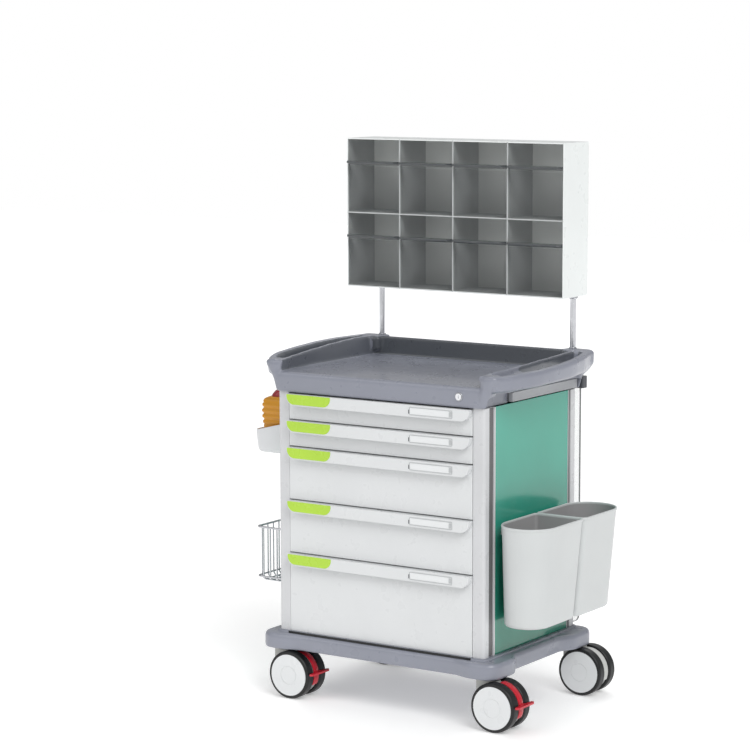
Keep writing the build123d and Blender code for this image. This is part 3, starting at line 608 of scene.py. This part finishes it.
notch_outline = rounded([(-224, 798.5), (-103, 798.5), (-103, 829), (-224, 829)], [0, 0, 0, 12])
Form().prism(notch_outline, "x", 298, 301.5).piece("notch_back", abs_grey, "root", "abs_grey", 0.6)
Form().lathe([(8.9, 1.0), (8.9, -1.4), (9.4, -2.0), (10.4, -1.8), (11.0, -0.9), (11.2, 1.0)],
             (lock_x, -DECK_Y, lock_z), "y").piece("lock_ring", runner_zinc, "root", "abs_grey")

# ---- Tilt bin cabinet: folded shell; a grey lining paints shade on the cell walls and lighter backs paint light ----
cab_low, cab_high = low_high("bin_cabinet")
SHEET, COLUMNS, ROWS = 3.0, 4, 2
cell_w = (cab_high[0] - cab_low[0] - (COLUMNS + 1) * SHEET) / COLUMNS
cell_h = (cab_high[2] - cab_low[2] - (ROWS + 1) * SHEET) / ROWS
edges_x = [cab_low[0]]
for _ in range(COLUMNS):
    edges_x += [edges_x[-1] + SHEET, edges_x[-1] + SHEET + cell_w]
edges_x.append(cab_high[0])
edges_z = [cab_low[2]]
for _ in range(ROWS):
    edges_z += [edges_z[-1] + SHEET, edges_z[-1] + SHEET + cell_h]
edges_z.append(cab_high[2])
front_y, back_y = cab_low[1], cab_high[1]

shell = Form()
depths = (front_y, back_y - SHEET, back_y)
index = {}
for level, y in enumerate(depths):
    for i, x in enumerate(edges_x):
        for k, z in enumerate(edges_z):
            index[i, k, level] = len(shell.verts)
            shell.verts.append((x * MM, y * MM, z * MM))
wide, tall = len(edges_x) - 1, len(edges_z) - 1
for i in range(wide):
    for k in range(tall):
        is_cell = i % 2 == 1 and k % 2 == 1
        for level, shown in ((0, not is_cell), (1, is_cell), (2, True)):
            if shown:
                shell.faces.append((index[i, k, level], index[i + 1, k, level],
                                    index[i + 1, k + 1, level], index[i, k + 1, level]))
        if is_cell:
            loop = [(i, k), (i + 1, k), (i + 1, k + 1), (i, k + 1)]
            for (a, b), (c, d) in zip(loop, loop[1:] + loop[:1]):
                shell.faces.append((index[a, b, 0], index[c, d, 0], index[c, d, 1], index[a, b, 1]))
for k in range(tall):
    for i in (0, wide):
        shell.faces.append((index[i, k, 0], index[i, k + 1, 0], index[i, k + 1, 2], index[i, k, 2]))
for i in range(wide):
    for k in (0, tall):
        shell.faces.append((index[i, k, 0], index[i + 1, k, 0], index[i + 1, k, 2], index[i, k, 2]))
used = {v for face in shell.faces for v in face}
order = {v: n for n, v in enumerate(sorted(used))}
shell.faces = [tuple(order[v] for v in face) for face in shell.faces]
shell.verts = [shell.verts[v] for v in sorted(used)]
cabinet = shell.piece("cabinet_shell", cabinet_white, "root", "cabinet_white", 0.7)
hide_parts("bin_cabinet")

# Painted shade: the grey lining darkens the cell walls where shade falls inside the cells
lining = Form()
cell_boxes = []
for k in range(ROWS - 1, -1, -1):
    for i in range(COLUMNS):
        x0, x1, z0, z1 = edges_x[2 * i + 1], edges_x[2 * i + 2], edges_z[2 * k + 1], edges_z[2 * k + 2]
        cell_boxes.append((x0, x1, z0))
        rings = []
        for inset, y in ((0.55, back_y - SHEET - 0.6), (0.55, front_y + 1.2), (0.15, front_y + 1.2),
                         (0.15, back_y - SHEET - 0.15)):
            plan = rounded_box(x0 + inset, x1 - inset, z0 + inset, z1 - inset, 1.0, 2)
            rings.append([(x, y, z) for x, z in plan])
        lining.loft(rings)
lining.piece("cabinet_shade_lining", cell_wall_painted_shade, "root", "abs_grey")
# Painted light: the cell backs are a lighter grey than the walls because of how the light falls
backs = Form()
for x0, x1, z0 in cell_boxes:
    plan = rounded_box(x0 + 1.2, x1 - 1.2, z0 + 1.2, z0 + cell_h - 1.2, 1.0, 2)
    backs.prism(plan, "y", back_y - SHEET - 1.1, back_y - SHEET - 0.7)
backs.piece("cabinet_painted_light_backs", cell_back_painted_light, "root", "abs_grey")
trims = Form()
for i in range(2, len(edges_x) - 2, 2):
    trims.box(edges_x[i] + 0.3, edges_x[i + 1] - 0.3, front_y - 0.5, front_y + 0.2,
              edges_z[0] + 0.5, edges_z[-1] - 0.5)
for k in range(2, len(edges_z) - 2, 2):
    trims.box(edges_x[0] + 0.5, edges_x[-1] - 0.5, front_y - 0.6, front_y + 0.2,
              edges_z[k] + 0.6, edges_z[k + 1] - 0.6)
trims.piece("divider_trim", divider_grey, "root", "cabinet_white")

collars = Form()
for side in (-1, 1):
    for profile in ([(8.2, 900), (8.2, 903), (9, 903.6), (9.8, 902.6), (10, 900)],
                    [(8.2, 1040), (8.2, 1031), (11, 1030), (12, 1032), (12, 1040)]):
        collars.lathe(profile, (side * post_x, post_y, 0), "z")
collars.piece("post_collars", post_steel, "root", "post_steel")

# ---- Tilt bins: clear tapered boxes with a rolled front lip ----
BIN_GAP, BIN_WALL, BIN_DEPTH, BIN_FRONT, BIN_REAR, LIP = 0.9, 2.0, 99.5, 134.0, 112.0, 19.0
for number, (x0, x1, z0) in enumerate(cell_boxes, start=1):
    body = f"tilt_bin_{number}"
    left, right = x0 + BIN_GAP, x1 - BIN_GAP
    y0, y1, foot = front_y + 1.5, front_y + 1.5 + BIN_DEPTH, z0 + 1.5

    def bin_ring(inset, share, drop):
        """Ring round the bin, at a share of its sloping height less a drop."""
        ring = []
        for x, y in rounded_box(left + inset, right - inset, y0 + inset, y1 - inset, 4.5):
            height = BIN_FRONT + (BIN_REAR - BIN_FRONT) * (y - y0) / BIN_DEPTH
            ring.append((x, y, foot + share * height - drop))
        return ring

    rings = [bin_ring(2, 0, 0), bin_ring(0.4, 0, -1.2), bin_ring(0, 0, -3), bin_ring(0, 1, 1.2),
             bin_ring(0.8, 1, 0), bin_ring(1.6, 1, 0.2), bin_ring(BIN_WALL, 1, 1.4),
             bin_ring(BIN_WALL, 0, -4), bin_ring(4, 0, -BIN_WALL)]
    tub = Form().loft(rings)
    pivot_y, pivot_z = front_y + 5, z0 + 6
    for side, edge in ((-1, left), (1, right)):
        tub.lathe([(2.5, -0.2 * side), (2.5, 1.8 * side)], (edge, pivot_y, pivot_z), "x", 16)
    made = tub.piece(f"{body}_tub", bin_smoke, body, "bin_smoke")
    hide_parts(body)
    tip = y0 - LIP
    top = foot + BIN_FRONT
    profile = [(y0 + 1.9, top), (tip + 2, top), (tip + 0.6, top - 0.6), (tip, top - 2), (tip, top - 5),
               (tip + 0.8, top - 6), (tip + 2, top - 5.4), (tip + 2.6, top - 3.4), (tip + 6, top - 3),
               (y0 - 5, top - 3.4), (y0 - 1.5, top - 6), (y0 - 0.1, top - 10), (y0 + 1.9, top - 10)]
    rings = []
    for x, reach in ((left + 0.3, 0.4), (left + 7, 1), (right - 7, 1), (right - 0.3, 0.4)):
        rings.append([(x, y if y > y0 - 0.2 else y0 - (y0 - y) * reach, z) for y, z in profile])
    Form().loft(rings).piece(f"{body}_lip", lip_smoke, body, "bin_smoke", 0.4)

# ---- Accessory rails, board guides and board feet ----
rail_x = columns_high[0] + 4
RAIL_HALF, SPACER_Y = 150.0, 138.0
RAILS = ((1, 494.0), (-1, 688.0), (-1, 404.0))
rails = Form()
for side, top in RAILS:
    near, far = sorted((side * rail_x, side * (rail_x + 6)))
    rails.prism(rounded_box(near, far, -RAIL_HALF, RAIL_HALF, 2.6), "z", top - 24, top)
    for y in (-SPACER_Y, SPACER_Y):
        near, far = sorted((side * (columns_high[0] - 1.5), side * rail_x))
        rails.box(near, far, y - 8, y + 8, top - 20, top - 4)
made = rails.piece("rails", aluminium, "root", "column_aluminium", 1.2)
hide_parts("accessory_rails")
guides = Form()
for side in (-1, 1):
    slot_x, y_low, y_high = 311.4, 246.1, 253.4
    outline = [(295, 236), (325, 236), (325, 258.5), (295, 258.5), (295, y_high), (slot_x, y_high),
               (slot_x, y_low), (295, y_low)]
    outline = rounded(outline, [1, 4, 2, 0.8, 0.4, 0.4, 0.4, 0.4])
    guides.prism([(side * x, y) for x, y in outline], "z", 798, 829)
    guides.box(*sorted((side * 180, side * 220)), 236, 258.5, 170, 176)
guides.piece("board_guides", abs_dark, "root", "abs_grey", 1.5)

# ---- Resuscitation board: clear sheet with a darker sawn edge ----
board_low, board_high = low_high("cpr_board")


HAND_HALF_X, HAND_HALF_Z, HAND_DROP = 65, 17, 90


def board_ring(inset, y):
    """Outline of the board, moved in by an inset."""
    plan = rounded_box(board_low[0] + inset, board_high[0] - inset, board_low[2] + inset,
                       board_high[2] - inset, 18 - inset, 8)
    return [(x, y, z) for x, z in plan]


def hand_ring(inset, y):
    """Outline of the hand slot, moved out by an inset."""
    middle = board_high[2] - HAND_DROP
    half_x, half_z = HAND_HALF_X + inset, HAND_HALF_Z + inset
    plan = rounded_box(-half_x, half_x, middle - half_z, middle + half_z, half_z - 0.1, 8)
    return [(x, y, z) for x, z in plan]


y0, y1 = board_low[1], board_high[1]
sheet_form = Form().loft([board_ring(1.6, y0 + 0.3), board_ring(1.6, y1 - 0.3), hand_ring(1.4, y1 - 0.3),
                          hand_ring(1.4, y0 + 0.3)], loop=True)
made = sheet_form.piece("board_sheet", board_clear, "cpr_board", "board_clear")
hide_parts("cpr_board")
rim_form = Form()
for ring, lap in ((board_ring, 1.6), (hand_ring, 1.4)):
    rim_form.loft([ring(lap, y0 + 0.3), ring(0.5, y0), ring(0, y0 + 0.6), ring(0, y1 - 0.6), ring(0.5, y1),
                   ring(lap, y1 - 0.3)], loop=True)
rim_form.piece("board_edge", board_edge, "cpr_board", "board_clear")

# ---- Waste bins: tapered, with round far ends, a rolled rim and a darker inner layer of painted shade ----
WASTE_NEAR, WASTE_INNER = 14.0, 8.0
WASTE_WALL_X, WASTE_OUTER_X, WASTE_END_Y, WASTE_TOP = 325.0, 466.0, 217.0, 509.0
WASTE_HOOK_Y, WASTE_HOOK_HALF = 75.0, 35.0
SIDE_TAPER = 22.0
END_TAPER, NEAR_TAPER = {-1: 22.0, 1: 12.0}, {-1: 4.0, 1: 1.0}


def waste_ring(side, share, inset, z):
    """Plan of a bin at a share of its height: 0 is the narrow foot and 1 is the rim."""
    outer_x = WASTE_OUTER_X - SIDE_TAPER * (1 - share) - inset
    far_y = WASTE_END_Y - END_TAPER[side] * (1 - share) - inset
    near_y = 3 + NEAR_TAPER[side] * (1 - share) + inset
    wall_x = WASTE_WALL_X + inset
    corners = [(wall_x, near_y), (outer_x, near_y), (outer_x, far_y), (wall_x, far_y)]
    end = (outer_x - wall_x) / 2 - 1
    plan = rounded(corners, [WASTE_INNER, WASTE_NEAR, end, end], 16)
    return at_height([(x, side * y) for x, y in plan], z)


hook_x = columns_high[0] + 1.3
for side, name in ((-1, "front"), (1, "rear")):
    body = f"waste_bin_{name}"
    foot, top = low_high(body)[0][2], WASTE_TOP
    half = (foot + top) / 2
    levels = [(0, 7, foot), (0, 3, foot + 1.2), (0.01, 0.8, foot + 4), (0.03, 0, foot + 9), (0.5, 0, half),
              (0.975, 0, top - 8), (0.98, -1.6, top - 6.5), (0.99, -2, top - 4), (1, -1.4, top - 1.2),
              (1, 0, top), (1, 2, top - 0.6), (1, 3, top - 2.5), (0.5, 3, half), (0.03, 3, foot + 9),
              (0, 7, foot + 3)]
    bin_form = Form().loft([waste_ring(side, share, inset, z) for share, inset, z in levels])
    hook_low, hook_high = side * WASTE_HOOK_Y - WASTE_HOOK_HALF, side * WASTE_HOOK_Y + WASTE_HOOK_HALF
    bin_form.box(hook_x, WASTE_WALL_X + 1.5, hook_low, hook_high, 494.1, 497)
    bin_form.box(hook_x, hook_x + 2, hook_low, hook_high, 484, 494.1)
    made = bin_form.piece(f"{body}_tub", waste_grey, body, "waste_grey")
    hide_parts(body)
    # The painted-shade layer is one thin closed cup, from the foot up to the rim and down again; its darker
    # grey stands in for the shade inside the bin
    levels = [(0, 7.1, foot + 3.1), (0.03, 3.1, foot + 9), (0.5, 3.1, half), (1, 3.1, top - 5),
              (1, 3.5, top - 5), (0.5, 3.5, half), (0.03, 3.5, foot + 9.4), (0, 7.5, foot + 3.5)]
    Form().loft([waste_ring(side, share, inset, z) for share, inset, z in levels]).piece(
        f"{body}_painted_shade_layer", waste_inner_painted_shade, body, "waste_grey")

# ---- Sharps holder, container and lid ----
def holder_rim(x):
    share = min(max((x + 385) / 38, 0), 1)
    return 673 + 29 * share


def holder_ring(share, inset, drop):
    ring = []
    for x, y in rounded_box(-468 + 6 * (1 - share) + inset, -325 - inset, -118 + inset, 32 - inset, 12):
        ring.append((x, y, 612 + share * (holder_rim(x) - 612) - drop))
    return ring


rings = [holder_ring(0, 9, 0), holder_ring(0, 3.5, -2), holder_ring(0.02, 0.8, -6), holder_ring(0.1, 0, -8),
         holder_ring(0.5, 0, 0), holder_ring(1, 0, 1.6), holder_ring(1, 0.6, 0.3), holder_ring(1, 1.5, 0),
         holder_ring(1, 2.5, 0.4), holder_ring(1, 3, 1.8), holder_ring(0.5, 3, 0), holder_ring(0.04, 3, -2),
         holder_ring(0, 8, -2.9)]
holder = Form().loft(rings)
holder.box(-326.5, -columns_high[0] - 1.3, -83, -3, 688.1, 691)
holder.box(-columns_high[0] - 3.3, -columns_high[0] - 1.3, -83, -3, 678, 688.1)
made = holder.piece("sharps_holder_shell", holder_grey, "root", "holder_grey")
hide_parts("sharps_holder")


def tub_ring(inset, z):
    corner = min(12 + inset * 0.5, 59.5 - inset)
    return at_height(rounded_box(-457 + inset, -337 - inset, -108 + inset, 22 - inset, corner, 8), z)


levels = [(9, 616), (6.5, 617), (5, 621), (4, 660), (3, 682)]
for step in range(4):
    z = 690 + step * 15
    bulge = (1.6, 0.6, 0.2, 0.8)[step]
    levels += [(bulge + 2.2, z - 4), (bulge, z - 1), (bulge, z + 4), (bulge + 2.2, z + 7)]
levels += [(2.4, 748), (5, 753), (11, 757), (15, 758.5)]
made = Form().loft([tub_ring(inset, z) for inset, z in levels]).piece(
    "sharps_tub", sharps_amber, "sharps_container", "sharps_yellow")
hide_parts("sharps_container")
Form().loft([tub_ring(inset, z) for inset, z in
             ((17, 756), (16.6, 760), (17.6, 763), (20, 768), (23, 773), (28, 776.6), (35, 778.4),
              (44, 779))]).piece(
    "sharps_lid", sharps_red, "sharps_container", "sharps_yellow")

# ---- Wire basket ----
basket_foot = low_high("wire_basket")[0][2]
bx0, bx1, by0, by1 = -457.0, -328.0, -127.0, 167.0
bz0, bz1 = basket_foot + 3, 413.0
wires = bpy.data.curves.new("basket_wires", "CURVE")
wires.dimensions = "3D"
wires.bevel_depth = 1.0 * MM
wires.bevel_resolution = 4
wires.use_fill_caps = True


def wire(points, radius, closed=False):
    """Add one wire of the basket as a smooth poly spline."""
    spline = wires.splines.new("POLY")
    spline.points.add(len(points) - 1)
    for spot, target in zip(points, spline.points):
        target.co = (*(c * MM for c in spot), 1)
        target.radius = radius
    spline.use_cyclic_u = closed
    spline.use_smooth = True


for z, radius in ((bz1, 2.9), (bz0 + 12, 2.3)):
    wire(at_height(rounded_box(bx0, bx1, by0, by1, 14, 8), z), radius, True)


def hanger(start, end, depth_low, corner):
    """Points of a U: down from the rim, across the floor and up again, in one plane."""
    points = [(start, bz1), (start, depth_low), (end, depth_low), (end, bz1)]
    return rounded(points, [0, corner, corner, 0], 7)


for i in range(11):
    y = by0 + 22 + i * (by1 - by0 - 44) / 10
    wire([(x, y, z) for x, z in hanger(bx0 + 1.5, bx1 - 1.5, bz0, 14)], 2.0)
for i in range(5):
    x = bx0 + 21 + i * (bx1 - bx0 - 42) / 4
    wire([(x, y, z) for y, z in hanger(by0 + 1.5, by1 - 1.5, bz0 + 3.6, 14)], 2.0)
basket_hook_x = -columns_high[0] - 2.6
for y in (-20, 60):
    wire([(bx1, y, bz1), (bx1 + 10, y, bz1 - 2), (basket_hook_x, y, bz1 - 4), (basket_hook_x, y, 396)], 1.5)
wires.materials.append(wire_chrome)
basket = bpy.data.objects.new("basket_wires", wires)
scene.collection.objects.link(basket)
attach(basket, "root")
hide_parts("wire_basket")

# ---- Brake pedals: crowned band over the hood with a rounded foot bar ----
BAND = ((-10.5, 58.4), (-10.5, 60.2), (-8.5, 61.4), (-3, 62.2), (3, 62.2), (8.5, 61.4), (10.5, 60.2),
        (10.5, 58.4))
for corner in ("fl", "fr"):
    node = f"brake_pedal_{corner}"
    tip = low_high(node)[1][0]
    tyres_low, tyres_high = low_high(f"caster_{corner}_tyres")
    hub_x, hub_z = (tyres_low[0] + tyres_high[0]) / 2, (tyres_low[2] + tyres_high[2]) / 2
    hub_y = (tyres_low[1] + tyres_high[1]) / 2
    pedal = Form()
    rings = []
    for i in range(29):
        angle = radians(-26 + i * 4)
        fade = min(1.0, (i + 1) / 3, (29 - i) / 2)
        ring = []
        for across, radius in BAND:
            reach = 58.4 + (radius - 58.4) * fade
            ring.append((hub_x + reach * cos(angle), hub_y + across, hub_z + reach * sin(angle)))
        rings.append(ring)
    pedal.loft(rings)
    root_x, bar_x = hub_x + 60.5, hub_x + 65
    blade = rounded([(root_x, hub_y - 11), (bar_x, hub_y - 11), (bar_x, hub_y - 40), (tip, hub_y - 40),
                     (tip, hub_y + 40), (bar_x, hub_y + 40), (bar_x, hub_y + 11), (root_x, hub_y + 11)],
                    [0, 3, 3, 8, 8, 3, 3, 0])
    pedal.prism(blade, "z", hub_z + 6, hub_z + 11)
    made = pedal.piece(f"pedal_{corner}_lever", pedal_red, f"pedal_{corner}", "pedal_red", 1.2)
    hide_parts(node)

# ---- Small fixings: screws on the back panel and the rails ----
screws = Form()
back_high = low_high("back_panel")[1]
for x in (-262, -90, 90, 262):
    for z in (190, 486, 782):
        profile = [(0.4, 0), (3.4, 0), (3.4, 1), (2.6, 1.9), (0.4, 2.2)]
        screws.lathe(profile, (x, back_high[1], z), "y", 20)
for side, top in RAILS:
    for y in (-SPACER_Y, SPACER_Y):
        profile = [(0.4, 0), (4.2, 0), (4.2, side * 0.8), (3.2, side * 1.7), (0.4, side * 2)]
        screws.lathe(profile, (side * (rail_x + 6), y, top - 12), "x", 20)
screws.piece("screws", runner_zinc, "root", "runner_zinc")

# ---- Floor and lights ----
floor_data = bpy.data.meshes.new("floor")
FLOOR, FLOOR_GLOW = 14.0, 0.3
floor_corners = [(-FLOOR, -FLOOR, 0), (FLOOR, -FLOOR, 0), (FLOOR, FLOOR, 0), (-FLOOR, FLOOR, 0)]
floor_data.from_pydata(floor_corners, [], [(0, 1, 2, 3)])
floor = bpy.data.objects.new("floor", floor_data)
scene.collection.objects.link(floor)
floor_white = material("floor", tone(246, 246, 246), 0.6, grain=300, drift=0.004, scuffs=0.02)
glow = floor_white.node_tree.nodes["Principled BSDF"]
glow.inputs["Emission Color"].default_value = (1, 1, 1, 1)
glow.inputs["Emission Strength"].default_value = FLOOR_GLOW
floor_data.materials.append(floor_white)

# The sky lights the cart softly, and reads as white where the camera sees it
AMBIENT, BACKDROP = 0.37, 1.0
world = bpy.data.worlds.new("studio")
scene.world = world
world.use_nodes = True
sky = world.node_tree.nodes["Background"]
sky.inputs["Color"].default_value = (1, 1, 1, 1)
ray = world.node_tree.nodes.new("ShaderNodeLightPath")
level = world.node_tree.nodes.new("ShaderNodeMapRange")
level.inputs["To Min"].default_value = AMBIENT
level.inputs["To Max"].default_value = BACKDROP
world.node_tree.links.new(ray.outputs["Is Camera Ray"], level.inputs["Value"])
world.node_tree.links.new(level.outputs["Result"], sky.inputs["Strength"])


def sunlamp(name, azimuth, elevation, softness, power):
    """Broad distant light; azimuth 0 shines from the front, 90 from the right."""
    data = bpy.data.lights.new(name, "SUN")
    data.angle = radians(softness)
    data.energy = power
    light = bpy.data.objects.new(name, data)
    a, e = radians(azimuth), radians(elevation)
    toward = Vector((sin(a) * cos(e), -cos(a) * cos(e), sin(e)))
    light.rotation_euler = toward.to_track_quat("Z", "Y").to_euler()
    scene.collection.objects.link(light)


sunlamp("key", 58, 44, 30, 1.42)
sunlamp("fill", -25, 38, 50, 0.56)
sunlamp("back", 200, 55, 40, 0.7)
